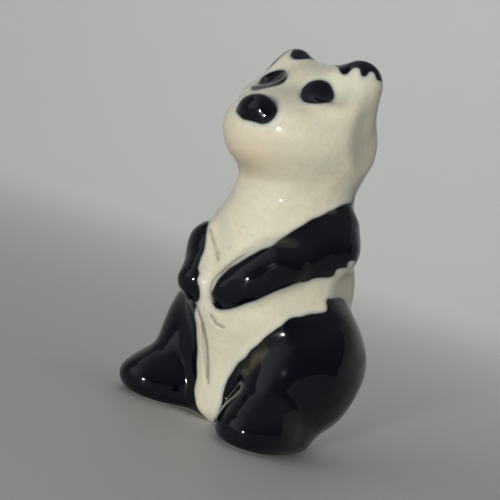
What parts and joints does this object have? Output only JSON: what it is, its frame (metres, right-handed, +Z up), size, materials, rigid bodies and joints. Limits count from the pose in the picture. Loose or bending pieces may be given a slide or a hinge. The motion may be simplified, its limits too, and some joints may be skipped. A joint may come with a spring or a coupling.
{
  "type": "panda figurine",
  "caption": "Small seated panda in glazed ceramic, paws on its belly and feet forward, standing on a flat underside as a shelf ornament.",
  "frame": {"origin": "middle of the figurine's box in plan, on the surface it stands on", "axes": "+Z up, the face looks along -Y, +X is the panda's own left side"},
  "size_m": [0.0226, 0.0206, 0.038],
  "materials": {
    "glaze": "glossy clear glaze over a cream white body, with painted black ears, eye patches, nose, arms, shoulder band and legs; bare dull body on the underside"
  },
  "bodies": {
    "root": {"panda_figurine": "glaze"}
  },
  "joints": []
}
